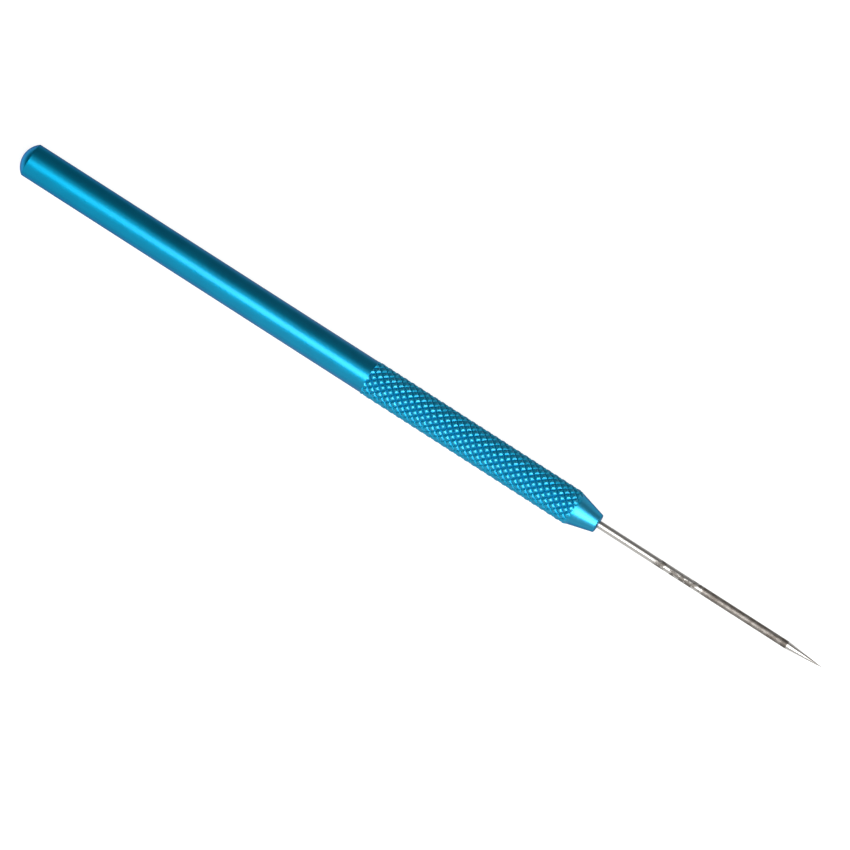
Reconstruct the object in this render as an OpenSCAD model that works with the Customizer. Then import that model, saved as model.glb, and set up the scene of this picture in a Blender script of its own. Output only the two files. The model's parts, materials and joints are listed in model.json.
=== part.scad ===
// Scratch awl: a slim turned handle with a knurled grip and a ground steel needle.
// The tool lies on its side along X, butt towards -X and point towards +X, resting on z = 0.

/* [Handle] */
// Length of the whole tool, from the butt's dome to the needle's point
overall_l = 140; // [120:1:180]
// Length of the needle that stands out of the nose
needle_out_l = 39; // [20:1:50]
// Diameter of the plain barrel
barrel_d = 5.3; // [4.5:0.1:8]
// Height of the dome that closes the butt
dome_h = 1.25; // [0.8:0.05:2]

/* [Knurled grip] */
// Length of the knurled stretch
grip_l = 35.65; // [15:0.05:45]
// How far the knurl's peaks stand above the barrel's surface
knurl_rise = 0.13; // [0.05:0.01:0.15]
// How far the knurl's grooves lie below the barrel's surface
knurl_sink = 0.2; // [0.18:0.01:0.3]
// Number of grooves of each hand around the grip
knurl_starts = 13; // [9:1:20]

/* [Nose] */
// Length of the tapered nose
nose_l = 4.4; // [3:0.1:8]
// How far the nose's wide end lies below the barrel's surface
nose_sink = 0.02; // [0.01:0.01:0.15]
// Diameter of the nose's narrow end, before its edge is broken
nose_end_d = 3.06; // [2.7:0.01:3.6]
// Width of the chamfer that breaks the nose's edge
nose_chamfer = 0.3; // [0.1:0.05:0.3]

/* [Needle] */
// Diameter of the needle's wire
needle_d = 1.2; // [0.8:0.1:1.4]
// Length of the ground point
point_l = 6; // [3:0.5:10]
// Diameter of the flat that is left on the point
point_tip_d = 0.04; // [0.02:0.01:0.1]
// Length of the shank that is bonded in the handle
shank_l = 13.5; // [10:0.5:20]

/* [Bond] */
// Gap between the shank and its bore, which the adhesive fills
bond_gap = 0.1; // [0.05:0.01:0.15]
// Depth of clear bore below the shank's end
bore_extra_l = 0.5; // [0.2:0.1:1.5]
// Width of the countersink at the bore's mouth
mouth_chamfer = 0.15; // [0.05:0.05:0.15]
// Number of grooves around the shank that key it to the adhesive
key_grooves = 4; // [1:1:4]

/* [Hidden] */

barrel_r = barrel_d / 2;
peak_r = barrel_r + knurl_rise;
valley_r = barrel_r - knurl_sink;
nose_base_r = barrel_r - nose_sink;
nose_end_r = nose_end_d / 2;
needle_r = needle_d / 2;
bore_r = needle_r + bond_gap;

handle_l = overall_l - needle_out_l;
grip_end = handle_l - nose_l;
grip_start = grip_end - grip_l;
shoulder = overall_l - point_l;
shank_start = handle_l - shank_l;
bore_floor = shank_start - bore_extra_l;

butt_edge = 0.08; // broken edge where the dome meets the barrel
drill_half_angle = 59; // a 118 degree drill leaves this cone at the bore's floor
drill_cone_l = bore_r / tan(drill_half_angle);
shank_chamfer = 0.15; // broken edge at the needle's blunt end
bond_recess = 0.6; // the adhesive stops this far below the countersink
key_groove_depth = 0.08;
key_groove_w = 0.8;
key_groove_pitch = 2.4;
key_groove_top = 0.1; // the first key groove starts this far below the nose's face

// A knurl column is half a groove's spacing, so columns alternate between peak and groove.
knurl_columns = 2 * knurl_starts;
knurl_column_w = 2 * PI * peak_r / knurl_columns;
knurl_rings = 2 * round(grip_l / knurl_column_w / 2);
knurl_ring_w = grip_l / knurl_rings;
core_r = valley_r - 0.03; // solid bar under the knurl
knurl_root_r = core_r - 0.4; // the knurl's teeth are rooted this deep in the bar
grip_overlap = 0.15; // the barrel and the nose run this far into the knurl

colour_anodised = [0.02, 0.56, 0.74];
colour_steel = [0.72, 0.70, 0.68];
colour_adhesive = [0.83, 0.80, 0.66];

$fn = 96;

// Lays a tool drawn upright, butt at the origin and point up, on its side on z = 0.
// It lies on the flat between two neighbouring columns of peaks.
module lay_down() {
    half_column = 180 / knurl_columns;
    translate([-overall_l / 2, 0, peak_r * cos(half_column)])
        rotate([0, 90, 0])
            rotate([0, 0, half_column])
                children();
}

// Barrel with a spherical dome on its lower end.
module domed_barrel(l) {
    dome_r = (barrel_r * barrel_r + dome_h * dome_h) / (2 * dome_h);
    intersection() {
        union() {
            cylinder(r1 = barrel_r - butt_edge, r2 = barrel_r, h = dome_h + butt_edge);
            translate([0, 0, dome_h + butt_edge])
                cylinder(r = barrel_r, h = l - dome_h - butt_edge);
        }
        union() {
            translate([0, 0, dome_r])
                sphere(r = dome_r);
            translate([0, 0, dome_r])
                cylinder(r = 2 * barrel_r, h = l);
        }
    }
}

// Tapered nose with a chamfered edge. Its wide end runs on into the grip.
module nose() {
    taper_l = nose_l - nose_chamfer;
    slope = (nose_base_r - nose_end_r) / taper_l;
    translate([0, 0, -grip_overlap])
        cylinder(r1 = nose_base_r + slope * grip_overlap, r2 = nose_end_r, h = taper_l + grip_overlap);
    translate([0, 0, taper_l])
        cylinder(r1 = nose_end_r, r2 = nose_end_r - nose_chamfer, h = nose_chamfer);
}

// Drilled bore for the needle, with its countersunk mouth. It runs on past the nose's face.
module needle_bore(past_face) {
    translate([0, 0, bore_floor - drill_cone_l])
        cylinder(r1 = 0, r2 = bore_r, h = drill_cone_l);
    translate([0, 0, bore_floor])
        cylinder(r = bore_r, h = handle_l - bore_floor + past_face);
    translate([0, 0, handle_l - mouth_chamfer])
        cylinder(r1 = bore_r, r2 = bore_r + mouth_chamfer + past_face, h = mouth_chamfer + past_face);
}

// A point of the knurl: a peak where column plus ring is odd, and a groove where it is even.
function knurl_point(column, ring) =
    let (
        r = (column + ring) % 2 == 0 ? valley_r : peak_r,
        turn = 360 * column / knurl_columns
    )
    [r * cos(turn), r * sin(turn), ring * knurl_ring_w];

function root_point(column, z) =
    let (turn = 360 * column / knurl_columns)
    [knurl_root_r * cos(turn), knurl_root_r * sin(turn), z];

// Index of a point in a list of rings, one ring of columns after another.
function ring_index(column, ring) = ring * knurl_columns + column % knurl_columns;

// The two faces of one knurl cell, split along the groove that crosses it.
function knurl_cell(column, ring) =
    let (
        a = ring_index(column, ring),
        b = ring_index(column + 1, ring),
        c = ring_index(column + 1, ring + 1),
        d = ring_index(column, ring + 1)
    )
    (column + ring) % 2 == 0 ? [[a, c, b], [a, d, c]] : [[a, d, b], [b, d, c]];

// One four-sided face between two neighbouring columns of two rings.
function ring_face(column, ring_a, ring_b) = [
    ring_index(column, ring_a),
    ring_index(column, ring_b),
    ring_index(column + 1, ring_b),
    ring_index(column + 1, ring_a)
];

// Diamond knurl: grooves of both hands at 45 degrees, which leave a pyramid between them.
module knurled_sleeve() {
    columns = [0 : knurl_columns - 1];
    root_bottom = knurl_rings + 1;
    root_top = knurl_rings + 2;
    points = [
        for (ring = [0 : knurl_rings], column = columns) knurl_point(column, ring),
        for (column = columns) root_point(column, 0),
        for (column = columns) root_point(column, grip_l)
    ];
    faces = [
        for (ring = [0 : knurl_rings - 1], column = columns) each knurl_cell(column, ring),
        for (column = columns) ring_face(column, root_bottom, 0),
        for (column = columns) ring_face(column, knurl_rings, root_top),
        for (column = columns) ring_face(column, root_top, root_bottom)
    ];
    polyhedron(points = points, faces = faces, convexity = 6);
}

// Turned, knurled and bored from one bar.
module handle() {
    past_face = 1;
    color(colour_anodised)
        lay_down() {
            difference() {
                union() {
                    domed_barrel(grip_start + grip_overlap);
                    translate([0, 0, grip_start])
                        cylinder(r = core_r, h = grip_l);
                    translate([0, 0, grip_end])
                        nose();
                }
                needle_bore(past_face);
            }
            translate([0, 0, grip_start])
                knurled_sleeve();
        }
}

// Ring that is cut away from the wire to leave one V-shaped key groove.
module key_groove_cut() {
    half_w = key_groove_w / 2;
    floor_r = needle_r - key_groove_depth;
    difference() {
        cylinder(r = needle_r + bond_gap, h = key_groove_w);
        cylinder(r1 = needle_r, r2 = floor_r, h = half_w);
        translate([0, 0, half_w])
            cylinder(r1 = floor_r, r2 = needle_r, h = half_w);
    }
}

// Wire needle, blunt end down, with its key grooves and its ground point.
module needle_shape() {
    difference() {
        union() {
            translate([0, 0, shank_start])
                cylinder(r1 = needle_r - shank_chamfer, r2 = needle_r, h = shank_chamfer);
            translate([0, 0, shank_start + shank_chamfer])
                cylinder(r = needle_r, h = shoulder - shank_start - shank_chamfer);
        }
        for (groove = [0 : key_grooves - 1])
            translate([0, 0, handle_l - key_groove_top - key_groove_w - groove * key_groove_pitch])
                key_groove_cut();
    }
    translate([0, 0, shoulder])
        cylinder(r1 = needle_r, d2 = point_tip_d, h = point_l);
}

module needle() {
    color(colour_steel)
        lay_down()
            needle_shape();
}

// Cured adhesive that fills the bore around and behind the shank.
module needle_adhesive() {
    adhesive_top = handle_l - mouth_chamfer - bond_recess;
    color(colour_adhesive)
        lay_down()
            difference() {
                union() {
                    translate([0, 0, bore_floor - drill_cone_l])
                        cylinder(r1 = 0, r2 = bore_r, h = drill_cone_l);
                    translate([0, 0, bore_floor])
                        cylinder(r = bore_r, h = adhesive_top - bore_floor);
                }
                needle_shape();
            }
}

handle();
needle();
needle_adhesive();
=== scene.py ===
"""A scratch awl: a slim anodised handle with a knurled grip, and a ground steel needle bonded in its nose.

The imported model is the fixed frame. The handle, the needle and the bond are turned again here at full
detail, round the same axis and to the same sizes, and dressed with procedural finishes.
"""

from __future__ import annotations

import json
import logging
import math
from dataclasses import dataclass, field, replace
from enum import Enum

import bpy
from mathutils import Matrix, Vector

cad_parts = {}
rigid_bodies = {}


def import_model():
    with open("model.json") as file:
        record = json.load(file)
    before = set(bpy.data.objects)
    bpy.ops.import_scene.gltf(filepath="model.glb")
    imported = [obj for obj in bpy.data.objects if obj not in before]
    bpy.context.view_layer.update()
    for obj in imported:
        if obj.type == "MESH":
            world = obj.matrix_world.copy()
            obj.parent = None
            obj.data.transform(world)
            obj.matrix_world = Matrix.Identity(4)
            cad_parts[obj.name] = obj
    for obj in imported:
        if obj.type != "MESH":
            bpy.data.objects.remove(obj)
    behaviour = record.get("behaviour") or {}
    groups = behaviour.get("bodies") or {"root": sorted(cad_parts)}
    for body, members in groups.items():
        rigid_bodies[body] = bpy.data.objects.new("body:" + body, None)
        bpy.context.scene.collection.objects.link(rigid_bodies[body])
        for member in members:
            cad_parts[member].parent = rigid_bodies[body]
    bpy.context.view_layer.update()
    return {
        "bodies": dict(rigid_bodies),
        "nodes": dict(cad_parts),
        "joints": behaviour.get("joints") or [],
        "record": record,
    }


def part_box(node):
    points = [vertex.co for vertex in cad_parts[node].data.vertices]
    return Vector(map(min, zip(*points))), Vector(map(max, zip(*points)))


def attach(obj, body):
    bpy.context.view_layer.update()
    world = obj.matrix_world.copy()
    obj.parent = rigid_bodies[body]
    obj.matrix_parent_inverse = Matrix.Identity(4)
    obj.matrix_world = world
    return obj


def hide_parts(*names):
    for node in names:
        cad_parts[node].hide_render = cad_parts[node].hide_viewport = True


LOG = logging.getLogger("scratch_awl")
MM = 0.001
TURN = 2.0 * math.pi

Colour = tuple[float, float, float, float]
Pattern = tuple[float, float, float]  # features in a metre along each axis
Outline = list[tuple[float, float]]


class Body(Enum):
    """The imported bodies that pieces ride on."""

    WHOLE_TOOL = "root"


class Slot(Enum):
    """The record's material slots."""

    HANDLE = "anodised_handle"
    NEEDLE = "ground_steel"
    ADHESIVE = "cured_adhesive"


# --------------------------------------------------------------------------------------------------
# Node trees
# --------------------------------------------------------------------------------------------------


class NodeDesk:
    """Adds nodes to one tree, for a material, the world or a geometry modifier."""

    def __init__(self, tree: bpy.types.NodeTree) -> None:
        """Takes the tree that nodes are added to.

        Args:
            tree: A shader or geometry node tree.
        """
        self.tree = tree

    def node(
        self,
        kind: str,
        settings: dict[str, object] | None = None,
        sockets: dict[str | int, object] | None = None,
    ) -> bpy.types.Node:
        """Adds one node.

        Args:
            kind: The node's type, such as "ShaderNodeTexNoise".
            settings: Properties of the node, which are set first.
            sockets: Values or links of its input sockets, by name or by index.

        Returns:
            The new node.
        """
        made = self.tree.nodes.new(kind)
        for name, value in (settings or {}).items():
            setattr(made, name, value)
        for key, value in (sockets or {}).items():
            self.feed(made.inputs[key], value)
        return made

    def feed(self, socket: bpy.types.NodeSocket, value: object) -> None:
        """Links a socket to another one, or sets its value.

        Args:
            socket: The input socket.
            value: A Number, an output socket, or a plain value.
        """
        if isinstance(value, Number):
            value = value.socket
        if isinstance(value, bpy.types.NodeSocket):
            self.tree.links.new(value, socket)
        else:
            socket.default_value = value

    def number(self, node: bpy.types.Node, output: str | int = 0) -> Number:
        """Wraps one output of a node for arithmetic."""
        return Number(self, node.outputs[output])

    def attribute(self, name: str) -> Number:
        """Reads a number that the mesh stores at each of its points."""
        return self.number(self.node("ShaderNodeAttribute", {"attribute_name": name}), "Fac")

    def mix(self, factor: Number | float, first: object, second: object) -> bpy.types.NodeSocket:
        """Mixes two colours.

        Args:
            factor: 0 gives the first colour and 1 the second.
            first: A colour or a colour socket.
            second: A colour or a colour socket.

        Returns:
            The mixed colour's socket.
        """
        made = self.node("ShaderNodeMix", {"data_type": "RGBA"})
        for socket in made.inputs:
            if socket.identifier == "Factor_Float":
                self.feed(socket, factor)
            elif socket.identifier == "A_Color":
                self.feed(socket, first)
            elif socket.identifier == "B_Color":
                self.feed(socket, second)
        return next(o for o in made.outputs if o.identifier == "Result_Color")


class Number:
    """A float socket that adds Math nodes when it is used in an expression."""

    def __init__(self, desk: NodeDesk, socket: bpy.types.NodeSocket) -> None:
        """Takes the socket and the desk of its tree.

        Args:
            desk: The desk that adds the Math nodes.
            socket: An output socket that holds one number.
        """
        self.desk = desk
        self.socket = socket

    def apply(self, operation: str, *values: object) -> Number:
        """Adds one Math node.

        Args:
            operation: The Math node's operation.
            *values: Its operands, as Numbers or plain floats.

        Returns:
            The result.
        """
        sockets = dict(enumerate(values))
        return self.desk.number(self.desk.node("ShaderNodeMath", {"operation": operation}, sockets))

    def __add__(self, other: Number | float) -> Number:
        """Adds."""
        return self.apply("ADD", self, other)

    def __radd__(self, other: float) -> Number:
        """Adds to a plain float."""
        return self.apply("ADD", other, self)

    def __sub__(self, other: Number | float) -> Number:
        """Subtracts."""
        return self.apply("SUBTRACT", self, other)

    def __rsub__(self, other: float) -> Number:
        """Subtracts from a plain float."""
        return self.apply("SUBTRACT", other, self)

    def __mul__(self, other: Number | float) -> Number:
        """Multiplies."""
        return self.apply("MULTIPLY", self, other)

    def __rmul__(self, other: float) -> Number:
        """Multiplies a plain float."""
        return self.apply("MULTIPLY", other, self)

    def __truediv__(self, other: Number | float) -> Number:
        """Divides."""
        return self.apply("DIVIDE", self, other)

    def __pow__(self, other: Number | float) -> Number:
        """Raises to a power."""
        return self.apply("POWER", self, other)

    def __neg__(self) -> Number:
        """Changes the sign."""
        return self.apply("SUBTRACT", 0.0, self)

    def __gt__(self, other: Number | float) -> Number:
        """Gives 1 where this number is greater, and 0 elsewhere."""
        return self.apply("GREATER_THAN", self, other)

    def __lt__(self, other: Number | float) -> Number:
        """Gives 1 where this number is less, and 0 elsewhere."""
        return self.apply("LESS_THAN", self, other)

    def floor(self) -> Number:
        """Rounds down."""
        return self.apply("FLOOR", self)

    def sine(self) -> Number:
        """Takes the sine of an angle in radians."""
        return self.apply("SINE", self)

    def cosine(self) -> Number:
        """Takes the cosine of an angle in radians."""
        return self.apply("COSINE", self)

    def least(self, other: Number | float) -> Number:
        """Gives the smaller of two numbers."""
        return self.apply("MINIMUM", self, other)

    def to_nearest_line(self) -> Number:
        """Gives the distance to the nearest whole number, from 0 to a half."""
        return self.apply("ABSOLUTE", self - (self + 0.5).floor())

    def span(self, low: float, high: float) -> Number:
        """Rises smoothly from 0 to 1 as this number goes from low to high, and stays there.

        Args:
            low: Where the rise starts.
            high: Where it ends.

        Returns:
            The share of the way, from 0 to 1.
        """
        settings = {"interpolation_type": "SMOOTHSTEP", "clamp": True}
        sockets = {0: self, 1: low, 2: high, 3: 0.0, 4: 1.0}
        return self.desk.number(self.desk.node("ShaderNodeMapRange", settings, sockets))

    def inside(self, low: float, high: float, fade: float) -> Number:
        """Gives 1 from low to high and 0 outside, with faded ends.

        Args:
            low: The lower end.
            high: The upper end.
            fade: The length of each faded end, centred on it.

        Returns:
            The mask.
        """
        half = fade / 2.0
        return self.span(low - half, low + half) * (1.0 - self.span(high - half, high + half))


class Finish:
    """The start and end of every procedural material."""

    def begin(self, name: str) -> tuple[bpy.types.Material, NodeDesk]:
        """Makes a material with an empty node tree.

        Args:
            name: The material's name.

        Returns:
            The material, and the desk of its tree.
        """
        material = bpy.data.materials.new(name)
        material.use_nodes = True
        material.node_tree.nodes.clear()
        return material, NodeDesk(material.node_tree)

    def place(self, desk: NodeDesk) -> tuple[Number, bpy.types.NodeSocket]:
        """Gives where a point is on the tool, in metres.

        Args:
            desk: The desk of the material's tree.

        Returns:
            The place along the tool, and the vector socket that holds all three coordinates.
        """
        vector = desk.node("ShaderNodeTexCoord").outputs["Object"]
        parts = desk.node("ShaderNodeSeparateXYZ", sockets={0: vector})
        return desk.number(parts, 0), vector

    def noise(
        self, desk: NodeDesk, vector: object, pattern: Pattern, detail: float = 2.0, offset: float = 0.0
    ) -> Number:
        """Adds a noise pattern that can be stretched.

        Args:
            desk: The desk of the material's tree.
            vector: The coordinates' socket.
            pattern: How many features there are in a metre along each axis.
            detail: The octaves of finer noise.
            offset: A shift that makes this pattern differ from another one.

        Returns:
            The pattern, from 0 to 1.
        """
        moved = {"Vector": vector, "Scale": pattern, "Location": (offset, offset, 0.0)}
        mapped = desk.node("ShaderNodeMapping", sockets=moved)
        sockets = {"Vector": mapped.outputs[0], "Scale": 1.0, "Detail": detail, "Roughness": 0.55}
        return desk.number(desk.node("ShaderNodeTexNoise", {"noise_dimensions": "3D"}, sockets))

    def end(self, desk: NodeDesk, surface: dict[str | int, object]) -> None:
        """Adds the surface shader and the output.

        Args:
            desk: The desk of the material's tree.
            surface: The Principled shader's sockets and what feeds them.
        """
        shader = desk.node("ShaderNodeBsdfPrincipled", sockets=surface)
        desk.node("ShaderNodeOutputMaterial", sockets={"Surface": shader.outputs[0]})

    def relief(self, desk: NodeDesk, height: Number, depth: float) -> bpy.types.NodeSocket:
        """Turns a height from 0 to 1 into a bumped normal.

        Args:
            desk: The desk of the material's tree.
            height: The pattern.
            depth: How deep it is, in metres.

        Returns:
            The normal's socket.
        """
        bump = desk.node("ShaderNodeBump", sockets={"Strength": 1.0, "Distance": depth, "Height": height})
        return bump.outputs[0]


# --------------------------------------------------------------------------------------------------
# Finishes
# --------------------------------------------------------------------------------------------------


@dataclass(frozen=True)
class AnodisedAluminium(Finish):
    """Cyan-blue dye in satin anodising, over fine turning rings; the knurl's flanks and grooves are
    darkened with painted shade, and its crests are lighter, partly from abrasion and partly as painted
    glints.

    The mesh stores "knurled", which is 1 on the knurl, and "crest", which rises to 1 on the knurl's peaks.
    """

    dye: Colour = (0.001, 0.345, 0.585, 1.0)
    deep_dye: Colour = (0.001, 0.310, 0.535, 1.0)
    # Lighter crest colour: partly real abrasion, partly painted glints on the knurl's peaks.
    rubbed_and_glint: Colour = (0.060, 0.480, 0.660, 1.0)
    # Painted shade: the knurl's flanks and grooves get these darker colours for the shade between its
    # pyramids; the groove colour is partly real pooled dye.
    flank_painted_shade: Colour = (0.006, 0.300, 0.495, 1.0)
    pooled_dye_and_groove_shade: Colour = (0.001, 0.180, 0.350, 1.0)
    nose_dye: Colour = (0.030, 0.330, 0.540, 1.0)
    edge: Colour = (0.0, 0.15, 0.42, 1.0)
    roughness: float = 0.37
    flank_roughness: float = 0.44
    flank_metal: float = 0.80
    wear_and_glint: float = 0.55
    turning_rings: Pattern = (9000.0, 60.0, 60.0)
    dye_patches: Pattern = (180.0, 420.0, 420.0)
    grain: Pattern = (14000.0, 14000.0, 14000.0)
    ring_depth: float = 0.0006 * MM
    butt_gloss: float = 0.16
    grip_gloss: float = 0.38
    nose_gloss: float = 0.22
    gloss_rise: float = 60.0 * MM
    nose_fade: tuple[float, float] = (0.4 * MM, 1.0 * MM)
    grip_start: float = 0.0
    nose_start: float = 0.0
    coat_roughness: float = 0.15

    def material(self, name: str) -> bpy.types.Material:
        """Builds the material.

        Args:
            name: The material's name.

        Returns:
            The material.
        """
        material, desk = self.begin(name)
        along, vector = self.place(desk)
        rings = self.noise(desk, vector, self.turning_rings, 3.0)
        patches = self.noise(desk, vector, self.dye_patches, 3.0, 7.0)
        grain = self.noise(desk, vector, self.grain, 2.0, 3.0)
        crest = desk.attribute("crest")
        knurled = desk.attribute("knurled")
        on_nose = along.span(self.nose_start + self.nose_fade[0], self.nose_start + self.nose_fade[1])

        flanks = knurled * (1.0 - crest.span(0.90, 0.99))
        # Crests lighter with their height: partly abrasion, partly painted glints.
        worn_and_glint = crest.span(0.80, 1.0) * (0.5 + 0.5 * patches.span(0.35, 0.65))
        dyed = desk.mix(patches.span(0.30, 0.70), self.deep_dye, self.dye)
        # Painted shade: knurl flanks darker than the barrel and grooves darker still, the grooves partly
        # real pooled dye.
        cut = desk.mix(crest.span(0.0, 0.30), self.pooled_dye_and_groove_shade, self.flank_painted_shade)
        turned = desk.mix(on_nose, desk.mix(flanks, dyed, cut), self.nose_dye)
        colour = desk.mix(worn_and_glint * self.wear_and_glint, turned, self.rubbed_and_glint)

        satin = self.roughness + flanks * (self.flank_roughness - self.roughness)
        roughness = satin + 0.10 * (rings - 0.5) + 0.06 * (grain - 0.5) + 0.04 * (patches - 0.5)
        normal = self.relief(desk, rings * 0.7 + grain * 0.3, self.ring_depth)
        up_the_barrel = along.span(self.grip_start - self.gloss_rise, self.grip_start)
        barrel_gloss = (self.grip_gloss - self.butt_gloss) * up_the_barrel
        nose_gloss = (self.nose_gloss - self.grip_gloss) * on_nose
        surface = {
            "Base Color": colour,
            "Metallic": 1.0 - flanks * (1.0 - self.flank_metal),
            "Roughness": roughness,
            "Normal": normal,
            "Specular Tint": self.edge,
            "Coat Weight": self.butt_gloss + barrel_gloss + nose_gloss,
            "Coat Roughness": self.coat_roughness,
            "Coat IOR": 1.5,
        }
        self.end(desk, surface)
        return material


@dataclass(frozen=True)
class GroundSteel(Finish):
    """Ground wire: bright near the nose, then mottled, then dull brown-grey up to the fresh point, whose
    tip is darkened with painted shade.

    Its last four fields are places along the tool, and its fades and lengths lie along it as well.
    """

    bright: Colour = (0.66, 0.64, 0.61, 1.0)
    drawn_streak: Colour = (0.52, 0.50, 0.475, 1.0)
    dull: Colour = (0.172, 0.150, 0.133, 1.0)
    # Darker colour for the mottled spots, the ring before the point, and the painted tip shade.
    stain_and_shade: Colour = (0.10, 0.085, 0.072, 1.0)
    bright_roughness: float = 0.30
    dull_roughness: float = 0.58
    die_lines: Pattern = (500.0, 16000.0, 16000.0)
    spots: Pattern = (750.0, 1200.0, 1200.0)
    relief_depth: float = 0.002 * MM
    mottle_fade: float = 1.0 * MM
    dull_fade: float = 0.4 * MM
    # A darker ring just before the ground point.
    dark_ring_fade: float = 0.2 * MM
    dark_ring_length: float = 1.0 * MM
    # Painted shade: darkens the last few millimetres before the tip.
    painted_tip_shade: tuple[float, float] = (4.0 * MM, 1.0 * MM)
    mottle_start: float = 0.0
    dull_start: float = 0.0
    point_start: float = 0.0
    tip: float = 0.0

    def material(self, name: str) -> bpy.types.Material:
        """Builds the material.

        Args:
            name: The material's name.

        Returns:
            The material.
        """
        material, desk = self.begin(name)
        along, vector = self.place(desk)
        drawn = self.noise(desk, vector, self.die_lines, 3.0)
        spots = self.noise(desk, vector, self.spots, 4.0, 5.0)
        in_mottle = along.inside(self.mottle_start, self.dull_start, self.mottle_fade)
        in_dull = along.inside(self.dull_start, self.point_start, self.dull_fade)
        # Darkens a ring just before the ground point.
        dark_ring_start = self.point_start - self.dark_ring_length
        dark_ring = along.inside(dark_ring_start, self.point_start, self.dark_ring_fade)
        # Painted shade that darkens the point towards its tip.
        painted_tip_shade = along.span(self.tip - self.painted_tip_shade[0], self.tip - self.painted_tip_shade[1])

        mottled = in_mottle * spots.span(0.47, 0.53)
        dulled = in_dull * (0.75 + 0.25 * spots.span(0.35, 0.65))
        clean = desk.mix(drawn.span(0.35, 0.65) * 0.35, self.bright, self.drawn_streak)
        aged = desk.mix(dulled, clean, self.dull)
        # Mixes in the darker colour: real mottled spots, the ring, and painted shade at the tip.
        darkening = (mottled * 0.85 + dark_ring * 0.6 + painted_tip_shade * 0.8).least(1.0)
        colour = desk.mix(darkening, aged, self.stain_and_shade)
        spoiled = (mottled + dulled).least(1.0)
        rise = self.dull_roughness - self.bright_roughness
        roughness = self.bright_roughness + rise * spoiled + 0.10 * (drawn - 0.5)
        surface = {
            "Base Color": colour,
            "Metallic": 1.0,
            "Roughness": roughness,
            "Normal": self.relief(desk, drawn * 0.6 + spots * 0.4, self.relief_depth),
        }
        self.end(desk, surface)
        return material


@dataclass(frozen=True)
class CuredAdhesive(Finish):
    """Cured retaining adhesive, amber and glossy, with fine dust on it."""

    colour: Colour = (0.22, 0.17, 0.09, 1.0)
    dusty: Colour = (0.33, 0.29, 0.21, 1.0)
    dust: Pattern = (6000.0, 6000.0, 6000.0)
    dust_depth: float = 0.004 * MM

    def material(self, name: str) -> bpy.types.Material:
        """Builds the material.

        Args:
            name: The material's name.

        Returns:
            The material.
        """
        material, desk = self.begin(name)
        _, vector = self.place(desk)
        dust = self.noise(desk, vector, self.dust, 3.0)
        settled = dust.span(0.45, 0.70)
        surface = {
            "Base Color": desk.mix(settled, self.colour, self.dusty),
            "Roughness": 0.18 + 0.30 * settled,
            "Normal": self.relief(desk, dust, self.dust_depth),
        }
        self.end(desk, surface)
        return material


@dataclass(frozen=True)
class LitTable(Finish):
    """The pale matte surface under the tool, lit from below as well, so that shadows on it stay faint."""

    tone: Colour = (0.22, 0.22, 0.22, 1.0)
    glow: float = 0.88

    def material(self, name: str) -> bpy.types.Material:
        """Builds the material.

        Args:
            name: The material's name.

        Returns:
            The material.
        """
        material, desk = self.begin(name)
        surface = {
            "Base Color": self.tone,
            "Roughness": 0.9,
            "Specular IOR Level": 0.1,
            "Emission Color": (1.0, 1.0, 1.0, 1.0),
            "Emission Strength": self.glow,
        }
        self.end(desk, surface)
        return material


# --------------------------------------------------------------------------------------------------
# Turning
# --------------------------------------------------------------------------------------------------


@dataclass(frozen=True)
class Knurl:
    """A diamond knurl: grooves of both hands, which leave a low pyramid between them.

    A roundness of 1 gives straight flanks up to a sharp peak. With more, they level out towards it.
    """

    start: float
    run_out: float
    pitch: float
    starts: int
    depth: float
    roundness: float


@dataclass(frozen=True)
class FlatSheet:
    """A sheet that is about to be rolled round the axis, and where each of its points belongs."""

    mesh: bpy.types.NodeSocket
    column: Number
    angle: Number
    along: Number
    radius: Number


TURNING_INPUTS: dict[str, str] = {
    "Segments": "NodeSocketInt",
    "Axis Height": "NodeSocketFloat",
    "Crease": "NodeSocketFloat",
    "Material": "NodeSocketMaterial",
}
KNURL_INPUTS: dict[str, str] = {
    "Start": "NodeSocketFloat",
    "Run-out": "NodeSocketFloat",
    "Pitch": "NodeSocketFloat",
    "Starts": "NodeSocketInt",
    "Depth": "NodeSocketFloat",
    "Roundness": "NodeSocketFloat",
    "Peak Radius": "NodeSocketFloat",
}


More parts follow.
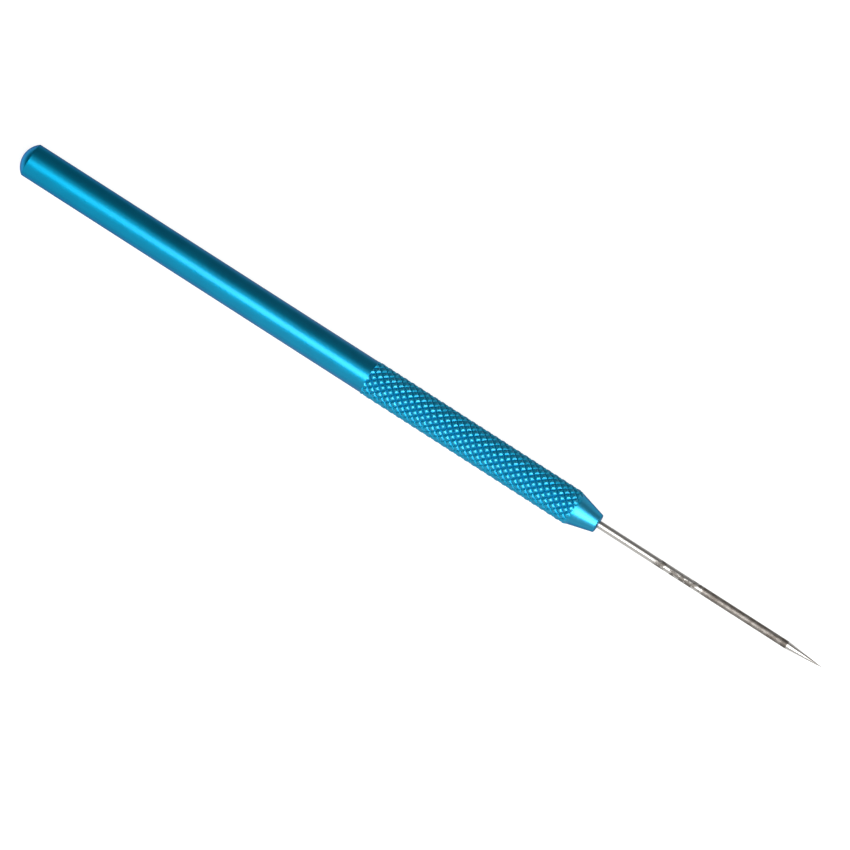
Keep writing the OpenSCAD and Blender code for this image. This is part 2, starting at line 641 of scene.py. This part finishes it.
@dataclass
class Lathe:
    """Turns outlines into closed bodies round the tool's axis, with Geometry Nodes.

    Points closer than weld become one. A hair lets the knurl's first row count as inside it, and stock
    thinner than least_cut is not dressed as knurled.
    """

    axis_height: float
    crease: float = math.radians(22.0)
    weld: float = 0.0005 * MM
    hair: float = 0.0001 * MM
    least_cut: float = 0.002 * MM

    def turn(
        self,
        name: str,
        outline: Outline,
        segments: int,
        material: bpy.types.Material,
        knurl: Knurl | None = None,
    ) -> bpy.types.Object:
        """Turns one body.

        Args:
            name: The piece's name.
            outline: Points as (place along the tool, radius), from the butt end over the outside and back.
            segments: The facets round the axis.
            material: The finish.
            knurl: The knurl to roll into it, if it has one.

        Returns:
            The finished piece, as a plain mesh.
        """
        rail = bpy.data.meshes.new(name + "_outline")
        steps = [(i, i + 1) for i in range(len(outline) - 1)]
        rail.from_pydata([(x, 0.0, r) for x, r in outline], steps, [])
        raw = bpy.data.objects.new(name + "_raw", rail)
        bpy.context.scene.collection.objects.link(raw)
        modifier = raw.modifiers.new("turn", "NODES")
        modifier.node_group = self.knurled_tree() if knurl else self.plain_tree()
        values: dict[str, object] = {
            "Segments": segments,
            "Axis Height": self.axis_height,
            "Crease": self.crease,
            "Material": material,
        }
        if knurl:
            values |= {
                "Start": knurl.start,
                "Run-out": knurl.run_out,
                "Pitch": knurl.pitch,
                "Starts": knurl.starts,
                "Depth": knurl.depth,
                "Roundness": knurl.roundness,
                "Peak Radius": max(r for _, r in outline),
            }
        for socket in modifier.node_group.interface.items_tree:
            if socket.name in values:
                modifier[socket.identifier] = values[socket.name]
        evaluated = raw.evaluated_get(bpy.context.evaluated_depsgraph_get())
        mesh = bpy.data.meshes.new_from_object(evaluated)
        mesh.name = name
        piece = bpy.data.objects.new(name, mesh)
        bpy.context.scene.collection.objects.link(piece)
        raw.modifiers.clear()
        bpy.data.objects.remove(raw)
        return piece

    def tree(
        self, name: str, inputs: dict[str, str]
    ) -> tuple[bpy.types.NodeTree, NodeDesk, bpy.types.Node]:
        """Starts a geometry tree.

        Args:
            name: The tree's name.
            inputs: The names of its inputs and their socket types.

        Returns:
            The tree, its desk, and the node that holds the inputs.
        """
        tree = bpy.data.node_groups.new(name, "GeometryNodeTree")
        tree.interface.new_socket("Geometry", in_out="OUTPUT", socket_type="NodeSocketGeometry")
        tree.interface.new_socket("Outline", in_out="INPUT", socket_type="NodeSocketGeometry")
        for label, kind in inputs.items():
            tree.interface.new_socket(label, in_out="INPUT", socket_type=kind)
        desk = NodeDesk(tree)
        return tree, desk, desk.node("NodeGroupInput")

    def lay(self, desk: NodeDesk, given: bpy.types.Node) -> FlatSheet:
        """Lays out a sheet with one row for each outline point and one column for each facet edge.

        Args:
            desk: The tree's desk.
            given: The node that holds the tree's inputs.

        Returns:
            The sheet.
        """
        outline = given.outputs["Outline"]
        segments = desk.number(given, "Segments")
        rows = desk.node("GeometryNodeAttributeDomainSize", sockets={0: outline}).outputs["Point Count"]
        columns = segments + 1.0
        sheet = desk.node("GeometryNodeMeshGrid", sockets={"Vertices X": rows, "Vertices Y": columns})
        index = desk.number(desk.node("GeometryNodeInputIndex"))
        row = ((index + 0.5) / columns).floor()
        column = index - row * columns
        at = desk.node("GeometryNodeInputPosition").outputs[0]
        sampled = desk.node(
            "GeometryNodeSampleIndex",
            {"data_type": "FLOAT_VECTOR", "domain": "POINT"},
            {"Geometry": outline, "Value": at, "Index": row},
        )
        parts = desk.node("ShaderNodeSeparateXYZ", sockets={0: sampled.outputs[0]})
        return FlatSheet(
            mesh=sheet.outputs[0],
            column=column,
            angle=column / segments * TURN,
            along=desk.number(parts, 0),
            radius=desk.number(parts, 2),
        )

    def roll(self, desk: NodeDesk, given: bpy.types.Node, sheet: FlatSheet) -> None:
        """Rolls the sheet round the axis, closes its seam and ends, and sets its shading and material.

        Args:
            desk: The tree's desk.
            given: The node that holds the tree's inputs.
            sheet: The sheet.
        """
        across = sheet.radius * sheet.angle.sine()
        height = desk.number(given, "Axis Height") - sheet.radius * sheet.angle.cosine()
        place = desk.node("ShaderNodeCombineXYZ", sockets={0: sheet.along, 1: across, 2: height})
        rolled = desk.node(
            "GeometryNodeSetPosition",
            sockets={"Geometry": sheet.mesh, "Position": place.outputs[0]},
        )
        turned = desk.node("GeometryNodeFlipFaces", sockets={0: rolled.outputs[0]})
        merged = desk.node(
            "GeometryNodeMergeByDistance",
            sockets={"Geometry": turned.outputs[0], "Distance": self.weld},
        )
        smooth = desk.node(
            "GeometryNodeSetShadeSmooth",
            {"domain": "FACE"},
            {"Geometry": merged.outputs[0], "Shade Smooth": True},
        )
        bend = desk.number(desk.node("GeometryNodeInputMeshEdgeAngle"))
        creased = desk.node(
            "GeometryNodeSetShadeSmooth",
            {"domain": "EDGE"},
            {
                "Geometry": smooth.outputs[0],
                "Selection": bend > desk.number(given, "Crease"),
                "Shade Smooth": False,
            },
        )
        real = desk.node("GeometryNodeRealizeInstances", sockets={"Geometry": creased.outputs[0]})
        dressed = desk.node(
            "GeometryNodeSetMaterial",
            sockets={"Geometry": real.outputs[0], "Material": given.outputs["Material"]},
        )
        desk.node("NodeGroupOutput", sockets={0: dressed.outputs[0]})

    def plain_tree(self) -> bpy.types.NodeTree:
        """Builds the tree for a plain turned body.

        Returns:
            The tree.
        """
        tree, desk, given = self.tree("plain_turning", TURNING_INPUTS)
        self.roll(desk, given, self.lay(desk, given))
        return tree

    def knurled_tree(self) -> bpy.types.NodeTree:
        """Builds the tree for a turned body with a diamond knurl.

        Each facet edge that lies in a groove runs along it, so the grooves stay sharp.

        Returns:
            The tree.
        """
        tree, desk, given = self.tree("knurled_turning", TURNING_INPUTS | KNURL_INPUTS)
        sheet = self.lay(desk, given)
        start = desk.number(given, "Start")
        depth = desk.number(given, "Depth")
        peak = desk.number(given, "Peak Radius")
        turn_share = sheet.column / desk.number(given, "Segments")
        around = turn_share * desk.number(given, "Starts") + 0.25
        forward = (sheet.along - start) / desk.number(given, "Pitch")

        right_hand = (around + forward + 0.25).to_nearest_line()
        left_hand = (around - forward + 0.25).to_nearest_line()
        off_groove = right_hand.least(left_hand)
        below_crest = (1.0 - off_groove * 2.0) ** desk.number(given, "Roundness")
        in_grip = (sheet.along > start - self.hair) * (sheet.along < desk.number(given, "Run-out"))
        stock = sheet.radius - sheet.radius.least(peak - depth)

        crested = self.store(desk, sheet.mesh, "crest", 0.5 + in_grip * (0.5 - below_crest))
        zoned = self.store(desk, crested, "knurled", in_grip * (stock > self.least_cut))
        split = self.split_along_grooves(desk, given, zoned, right_hand)
        radius = sheet.radius - in_grip * stock * below_crest
        self.roll(desk, given, replace(sheet, mesh=split, radius=radius))
        return tree

    def store(
        self, desk: NodeDesk, mesh: bpy.types.NodeSocket, name: str, value: Number
    ) -> bpy.types.NodeSocket:
        """Stores a number at each point of a mesh, for its material to read.

        Args:
            desk: The tree's desk.
            mesh: The mesh's socket.
            name: The attribute's name.
            value: The number.

        Returns:
            The socket of the mesh that holds it.
        """
        made = desk.node(
            "GeometryNodeStoreNamedAttribute",
            {"data_type": "FLOAT", "domain": "POINT"},
            {"Geometry": mesh, "Name": name, "Value": value},
        )
        return made.outputs[0]

    def split_along_grooves(
        self, desk: NodeDesk, given: bpy.types.Node, mesh: bpy.types.NodeSocket, right_hand: Number
    ) -> bpy.types.NodeSocket:
        """Cuts each cell of the sheet into two triangles, along the groove that crosses it.

        Args:
            desk: The tree's desk.
            given: The node that holds the tree's inputs.
            mesh: The sheet's socket.
            right_hand: Each point's distance from the nearest right-handed groove, in pitches.

        Returns:
            The split sheet's socket.
        """
        cell = 0.5 * desk.number(given, "Starts") / desk.number(given, "Segments")
        settings = {"data_type": "FLOAT", "domain": "FACE"}
        at_face = desk.node("GeometryNodeFieldOnDomain", settings, {0: right_hand})
        near = desk.number(at_face) < cell
        first = desk.node(
            "GeometryNodeTriangulate",
            {"quad_method": "FIXED_ALTERNATE"},
            {"Mesh": mesh, "Selection": near},
        )
        second = desk.node("GeometryNodeTriangulate", {"quad_method": "FIXED"}, {"Mesh": first.outputs[0]})
        return second.outputs[0]


def arc(centre: tuple[float, float], radius: float, first: float, last: float, steps: int) -> Outline:
    """Gives points along an arc of an outline.

    Args:
        centre: The arc's centre, as (place along the tool, distance from the axis).
        radius: The arc's radius.
        first: The first point's angle from the tool's direction, in radians.
        last: The last point's angle.
        steps: How many stretches it is cut into.

    Returns:
        The points, both ends included.
    """
    angles = [first + (last - first) * i / steps for i in range(steps + 1)]
    return [(centre[0] + radius * math.cos(a), centre[1] + radius * math.sin(a)) for a in angles]


def straight(start: tuple[float, float], end: tuple[float, float], steps: int) -> Outline:
    """Gives points along a straight stretch of an outline, without its first one.

    Args:
        start: Where it starts.
        end: Where it ends.
        steps: How many stretches it is cut into.

    Returns:
        The points after the start.
    """
    shares = [i / steps for i in range(1, steps + 1)]
    return [(start[0] + (end[0] - start[0]) * s, start[1] + (end[1] - start[1]) * s) for s in shares]


# --------------------------------------------------------------------------------------------------
# The tool's pieces
# --------------------------------------------------------------------------------------------------


@dataclass(frozen=True)
class AwlFrame:
    """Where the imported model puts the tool's main features, in metres."""

    butt: float
    nose_face: float
    tip: float
    axis_height: float
    barrel_radius: float
    peak_radius: float
    needle_radius: float

    @classmethod
    def read(cls, frame: dict) -> AwlFrame:
        """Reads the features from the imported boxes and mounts.


        Returns:
            The frame.
        """
        handle_low, handle_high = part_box("handle")
        _, needle_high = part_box("needle")
        mounts = {m["name"]: m for m in frame["record"]["mounts"]}
        return cls(
            butt=handle_low[0],
            nose_face=handle_high[0],
            tip=needle_high[0],
            axis_height=(handle_low[2] + handle_high[2]) / 2.0,
            barrel_radius=mounts["handle_shank"]["dims"]["r_mm"] * MM,
            peak_radius=(handle_high[2] - handle_low[2]) / 2.0,
            needle_radius=mounts["needle_shaft"]["dims"]["r_mm"] * MM,
        )


@dataclass
class Handle:
    """The turned, knurled and anodised bar that carries the needle.

    The barrel steps up to the grip over step_length. Each pitch of the knurl is cut into cells, and the
    grip comes down to the nose over a few rows of them.
    """

    frame: AwlFrame
    dome_height: float = 1.25 * MM
    butt_edge: float = 0.10 * MM
    grip_length: float = 35.65 * MM
    knurl_depth: float = 0.27 * MM
    knurl_roundness: float = 2.5
    knurl_starts: int = 13
    knurl_pitches: int = 27
    cells_per_pitch: int = 12
    nose_length: float = 4.4 * MM
    nose_sink: float = 0.02 * MM
    shoulder_rows: int = 5
    shoulder_slope: float = 0.40
    nose_end_radius: float = 1.53 * MM
    nose_edge: float = 0.30 * MM
    bore_radius: float = 0.70 * MM
    bore_depth: float = 14.0 * MM
    drill_half_angle: float = math.radians(59.0)
    mouth_chamfer: float = 0.15 * MM
    step_length: float = 0.02 * MM
    dome_rows: int = 36
    barrel_rows: int = 60
    nose_rows: int = 24
    finish: AnodisedAluminium = field(default_factory=AnodisedAluminium)

    def grip_end(self) -> float:
        """Gives where the grip meets the nose."""
        return self.frame.nose_face - self.nose_length

    def grip_start(self) -> float:
        """Gives where the barrel meets the grip."""
        return self.grip_end() - self.grip_length

    def cell(self) -> float:
        """Gives the length of one cell of the knurl."""
        return self.grip_length / (self.knurl_pitches * self.cells_per_pitch)

    def shoulder_foot(self) -> float:
        """Gives where the grip's eased shoulder has come down to the nose's cone."""
        return self.grip_end() + self.shoulder_rows * self.cell()

    def barrel_outline(self) -> Outline:
        """Draws the domed butt and the plain barrel.

        Returns:
            The outline from the dome's crown to the grip's edge.
        """
        radius = self.frame.barrel_radius
        rim = radius - self.butt_edge / 2.0
        dome_radius = (rim**2 + self.dome_height**2) / (2.0 * self.dome_height)
        centre = (self.frame.butt + dome_radius, 0.0)
        spread = math.asin(rim / dome_radius)
        dome = arc(centre, dome_radius, math.pi, math.pi - spread, self.dome_rows)
        edge_end = (self.frame.butt + self.dome_height + self.butt_edge, radius)
        last = (self.grip_start() - self.step_length, radius)
        return dome + straight(dome[-1], edge_end, 2) + straight(edge_end, last, self.barrel_rows)

    def cone_radius(self, place: float) -> float:
        """Gives the radius of the nose's cone.

        Args:
            place: The place along the tool.

        Returns:
            The cone's radius there.
        """
        first = self.frame.barrel_radius - self.nose_sink
        length = self.nose_length - self.nose_edge
        return first + (self.nose_end_radius - first) * (place - self.grip_end()) / length

    def grip_outline(self) -> Outline:
        """Draws the grip at its peak radius, with its eased shoulder down to the nose.

        Returns:
            The outline along the grip and its shoulder, one point for each row of cells.
        """
        foot = self.shoulder_foot()
        outline = []
        for row in range(self.knurl_pitches * self.cells_per_pitch + self.shoulder_rows):
            place = self.grip_start() + row * self.cell()
            shoulder = self.cone_radius(foot) + self.shoulder_slope * (foot - place)
            outline.append((place, min(self.frame.peak_radius, max(self.cone_radius(place), shoulder))))
        return outline

    def nose_outline(self) -> Outline:
        """Draws the tapered nose, its rounded edge and its flat face.

        Returns:
            The outline from the shoulder's foot to the bore's mouth.
        """
        base = (self.shoulder_foot(), self.cone_radius(self.shoulder_foot()))
        end = (self.frame.nose_face - self.nose_edge, self.nose_end_radius)
        rounded = arc((end[0], end[1] - self.nose_edge), self.nose_edge, math.pi / 2.0, 0.0, 6)
        mouth = (self.frame.nose_face, self.bore_radius + self.mouth_chamfer)
        return [base] + straight(base, end, self.nose_rows) + rounded[1:] + straight(rounded[-1], mouth, 3)

    def bore_outline(self) -> Outline:
        """Draws the countersunk mouth and the blind bore.

        Returns:
            The outline from the countersink's inner edge to the drill point.
        """
        face = self.frame.nose_face
        mouth_floor = (face - self.mouth_chamfer, self.bore_radius)
        bore_floor = (face - self.bore_depth, self.bore_radius)
        drill_point = (bore_floor[0] - self.bore_radius / math.tan(self.drill_half_angle), 0.0)
        return [mouth_floor] + straight(mouth_floor, bore_floor, 6) + [drill_point]

    def knurl(self) -> Knurl:
        """Gives the knurl's sizes."""
        return Knurl(
            start=self.grip_start(),
            run_out=self.grip_end() + (self.shoulder_rows + 0.5) * self.cell(),
            pitch=self.grip_length / self.knurl_pitches,
            starts=self.knurl_starts,
            depth=self.knurl_depth,
            roundness=self.knurl_roundness,
        )

    def build(self, lathe: Lathe) -> bpy.types.Object:
        """Turns the handle and gives it to the frame.

        Args:
            lathe: The lathe.

        Returns:
            The piece.
        """
        outside = self.barrel_outline() + self.grip_outline() + self.nose_outline()
        outline = outside + self.bore_outline()
        segments = self.knurl_starts * self.cells_per_pitch
        finish = replace(self.finish, grip_start=self.grip_start(), nose_start=self.grip_end())
        material = finish.material("cyan_anodising")
        piece = lathe.turn("turned_handle", outline, segments, material, self.knurl())
        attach(piece, Body.WHOLE_TOOL.value)
        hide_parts("handle")
        return piece


@dataclass
class Needle:
    """The ground steel wire, with its shank in the handle."""

    frame: AwlFrame
    shank_length: float = 13.5 * MM
    point_length: float = 6.0 * MM
    shank_chamfer: float = 0.15 * MM
    point_flat: float = 0.02 * MM
    groove_depth: float = 0.08 * MM
    groove_width: float = 0.8 * MM
    groove_pitch: float = 2.4 * MM
    groove_top: float = 0.1 * MM
    grooves: int = 4
    burr: float = 0.015 * MM
    clean_length: float = 10.0 * MM
    bright_length: float = 18.2 * MM
    facets: int = 64
    wire_rows: int = 40
    point_rows: int = 24

    def shank_start(self) -> float:
        """Gives where the needle's blunt end is."""
        return self.frame.nose_face - self.shank_length

    def shoulder(self) -> float:
        """Gives where the ground point starts."""
        return self.frame.tip - self.point_length

    def shank_outline(self) -> Outline:
        """Draws the blunt end and the grooved shank.

        Returns:
            The outline from the blunt end to the nose's face.
        """
        radius = self.frame.needle_radius
        points = [(self.shank_start(), 0.0), (self.shank_start(), radius - self.shank_chamfer)]
        points.append((self.shank_start() + self.shank_chamfer, radius))
        for groove in reversed(range(self.grooves)):
            far = self.frame.nose_face - self.groove_top - groove * self.groove_pitch
            points.append((far - self.groove_width, radius))
            points.append((far - self.groove_width / 2.0, radius - self.groove_depth))
            points.append((far, radius))
        return points

    def point_outline(self) -> Outline:
        """Draws the bare wire, the ring where the grinding starts, and the point.

        Returns:
            The outline from the nose's face to the tip.
        """
        radius = self.frame.needle_radius
        shoulder = self.shoulder()
        bare = straight((self.frame.nose_face, radius), (shoulder - 4 * self.burr, radius), self.wire_rows)
        ring = [(shoulder - 2 * self.burr, radius - self.burr), (shoulder, radius)]
        tip = (self.frame.tip, self.point_flat)
        return bare + ring + straight(ring[-1], tip, self.point_rows) + [(self.frame.tip, 0.0)]

    def build(self, lathe: Lathe) -> bpy.types.Object:
        """Turns the needle and gives it to the frame.

        Args:
            lathe: The lathe.

        Returns:
            The piece.
        """
        finish = GroundSteel(
            mottle_start=self.frame.nose_face + self.clean_length,
            dull_start=self.frame.nose_face + self.bright_length,
            point_start=self.shoulder(),
            tip=self.frame.tip,
        )
        outline = self.shank_outline() + self.point_outline()
        piece = lathe.turn("ground_needle", outline, self.facets, finish.material("ground_steel"))
        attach(piece, Body.WHOLE_TOOL.value)
        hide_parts("needle")
        return piece


@dataclass
class Bond:
    """The cured adhesive between the needle's shank and the bore, with its meniscus."""

    handle: Handle
    needle: Needle
    recess: float = 0.75 * MM
    meniscus: float = 0.06 * MM
    skin: float = 0.001 * MM
    facets: int = 48

    def outline(self) -> Outline:
        """Draws the bond's outside, its meniscus, and the socket that the shank sits in.

        Returns:
            The outline from the drill point round to the shank's blunt end.
        """
        bore = self.handle.bore_outline()
        wall = self.handle.bore_radius - self.skin
        drill_point, bore_floor = bore[-1], bore[-2]
        top = self.handle.frame.nose_face - self.recess
        inner = self.needle.frame.needle_radius + self.skin
        middle = (top - self.meniscus, (wall + inner) / 2.0)
        shank = [p for p in self.needle.shank_outline() if p[0] < top - self.meniscus]
        socket = [(x, r + self.skin if r else 0.0) for x, r in reversed(shank)]
        return [
            (drill_point[0] + self.skin, 0.0),
            (bore_floor[0], wall),
            (top, wall),
            middle,
            (top + self.meniscus, inner),
            *socket,
        ]

    def build(self, lathe: Lathe) -> bpy.types.Object:
        """Turns the bond and gives it to the frame.

        Args:
            lathe: The lathe.

        Returns:
            The piece.
        """
        material = CuredAdhesive().material("cured_adhesive")
        piece = lathe.turn("retaining_adhesive", self.outline(), self.facets, material)
        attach(piece, Body.WHOLE_TOOL.value)
        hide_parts("needle_adhesive")
        return piece


# --------------------------------------------------------------------------------------------------
# The studio
# --------------------------------------------------------------------------------------------------


@dataclass(frozen=True)
class SoftBox:
    """One long soft light that runs along the tool.

    Its place and width are angles about the tool, and its ends are places along it.
    """

    name: str
    lean: float
    spread: float
    distance: float
    first_end: float
    last_end: float
    radiance: float

    def hang(self) -> None:
        """Makes the light."""
        lean = math.radians(self.lean)
        width = 2.0 * self.distance * math.tan(math.radians(self.spread) / 2.0)
        lamp = bpy.data.lights.new(self.name, "AREA")
        lamp.shape = "RECTANGLE"
        lamp.size, lamp.size_y = self.last_end - self.first_end, width
        lamp.energy = self.radiance * math.pi * lamp.size * width
        hung = bpy.data.objects.new(self.name, lamp)
        bpy.context.scene.collection.objects.link(hung)
        away = Vector((0.0, -math.sin(lean), math.cos(lean)))
        hung.location = away * self.distance + Vector(((self.first_end + self.last_end) / 2.0, 0.0, 0.0))
        hung.rotation_euler = away.to_track_quat("Z", "Y").to_euler()
        hung.visible_camera = False


@dataclass
class Studio:
    """The pale surface, the soft lights, the dim surroundings and the camera.

    The surroundings' tones follow the direction that they are seen in. Each fade holds the two values of
    that direction's part along one axis between which a tone comes in.
    """

    centre: Vector
    floor_size: float = 6.0
    azimuth: float = math.radians(33.1)
    elevation: float = math.radians(79.9)
    distance: float = 3.0
    view_width: float = 0.12494
    aim_right: float = 0.00051
    aim_down: float = 0.00213
    surroundings: float = 0.14
    far_wall: float = 0.42
    table_end: float = 0.95
    table_back: float = 0.58
    table_front: float = 0.76
    table_fade: tuple[float, float] = (0.05, 0.60)
    front_fade: tuple[float, float] = (-0.60, 0.60)
    far_wall_fade: tuple[float, float] = (0.25, 0.50)
    table_end_fade: tuple[float, float] = (0.35, 0.90)
    film_width: float = 36.0
    boxes: tuple[SoftBox, ...] = (
        SoftBox("key_box", 22.0, 33.0, 0.37, -0.095, 0.45, 3.8),
        SoftBox("halo_box", 9.0, 58.0, 0.38, -0.20, 0.55, 0.40),
        SoftBox("nose_box", 14.0, 60.0, 0.36, 0.10, 0.42, 3.0),
        SoftBox("front_card", 75.0, 62.0, 0.65, -0.80, -0.03, 0.66),
        SoftBox("far_front_card", 80.0, 76.0, 0.65, -0.03, 0.80, 0.42),
        SoftBox("far_back_card", -98.0, 54.0, 0.30, 0.03, 0.20, 0.52),
    )

    def lay_floor(self) -> None:
        """Makes the pale surface at the height of the tool's base."""
        half = self.floor_size / 2.0
        corners = [(-half, -half, 0.0), (half, -half, 0.0), (half, half, 0.0), (-half, half, 0.0)]
        mesh = bpy.data.meshes.new("pale_floor")
        mesh.from_pydata(corners, [], [(0, 1, 2, 3)])
        floor = bpy.data.objects.new("pale_floor", mesh)
        bpy.context.scene.collection.objects.link(floor)
        mesh.materials.append(LitTable().material("lit_table"))
        floor.visible_glossy = False
        floor.visible_diffuse = False
        floor.visible_shadow = False

    def light(self) -> None:
        """Hangs the lights and sets the dim surroundings, with a pale table below them for reflections."""
        world = bpy.data.worlds.new("dim_room")
        bpy.context.scene.world = world
        world.use_nodes = True
        world.node_tree.nodes.clear()
        desk = NodeDesk(world.node_tree)
        looking = desk.node("ShaderNodeTexCoord").outputs["Generated"]
        direction = desk.node("ShaderNodeSeparateXYZ", sockets={0: looking})
        along, across, height = (desk.number(direction, axis) for axis in range(3))

        ahead = along.span(*self.far_wall_fade)
        behind = (-along).span(*self.table_end_fade)
        front = (-across).span(*self.front_fade)
        below = (-height).span(*self.table_fade)
        table = self.table_back + (self.table_front - self.table_back) * front + self.table_end * behind
        room = self.surroundings + (self.far_wall - self.surroundings) * ahead
        strength = room + (table - room) * below
        white = (1.0, 1.0, 1.0, 1.0)
        background = desk.node("ShaderNodeBackground", sockets={"Color": white, "Strength": strength})
        desk.node("ShaderNodeOutputWorld", sockets={"Surface": background.outputs[0]})
        for box in self.boxes:
            box.hang()

    def set_camera(self) -> None:
        """Places the camera with a long lens."""
        flat = Vector((-math.sin(self.azimuth), math.cos(self.azimuth), 0.0))
        looking = flat * math.cos(self.elevation) - Vector((0.0, 0.0, 1.0)) * math.sin(self.elevation)
        right = Vector((math.cos(self.azimuth), math.sin(self.azimuth), 0.0))
        up = right.cross(looking)
        data = bpy.data.cameras.new("long_lens")
        data.sensor_width = self.film_width
        data.lens = data.sensor_width * self.distance / self.view_width
        camera = bpy.data.objects.new("long_lens", data)
        bpy.context.scene.collection.objects.link(camera)
        aim = self.centre + right * self.aim_right - up * self.aim_down
        camera.location = aim - looking * self.distance
        camera.rotation_euler = looking.to_track_quat("-Z", "Y").to_euler()
        data.clip_start, data.clip_end = 0.01, 20.0
        bpy.context.scene.camera = camera

    def set_up(self) -> None:
        """Makes the camera, the lights and the floor, and keeps colours as they are lit."""
        self.set_camera()
        self.light()
        self.lay_floor()
        bpy.context.scene.view_settings.view_transform = "Standard"


def main() -> None:
    """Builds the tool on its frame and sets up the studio."""
    logging.basicConfig(level=logging.INFO, format="%(message)s")
    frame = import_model()
    awl = AwlFrame.read(frame)
    lathe = Lathe(axis_height=awl.axis_height)
    handle = Handle(awl)
    needle = Needle(awl)
    for part in (handle, needle, Bond(handle, needle)):
        piece = part.build(lathe)
        LOG.info("%s: %d faces", piece.name, len(piece.data.polygons))
    Studio(centre=Vector(((awl.butt + awl.tip) / 2.0, 0.0, awl.axis_height))).set_up()


if __name__ == "__main__":
    main()
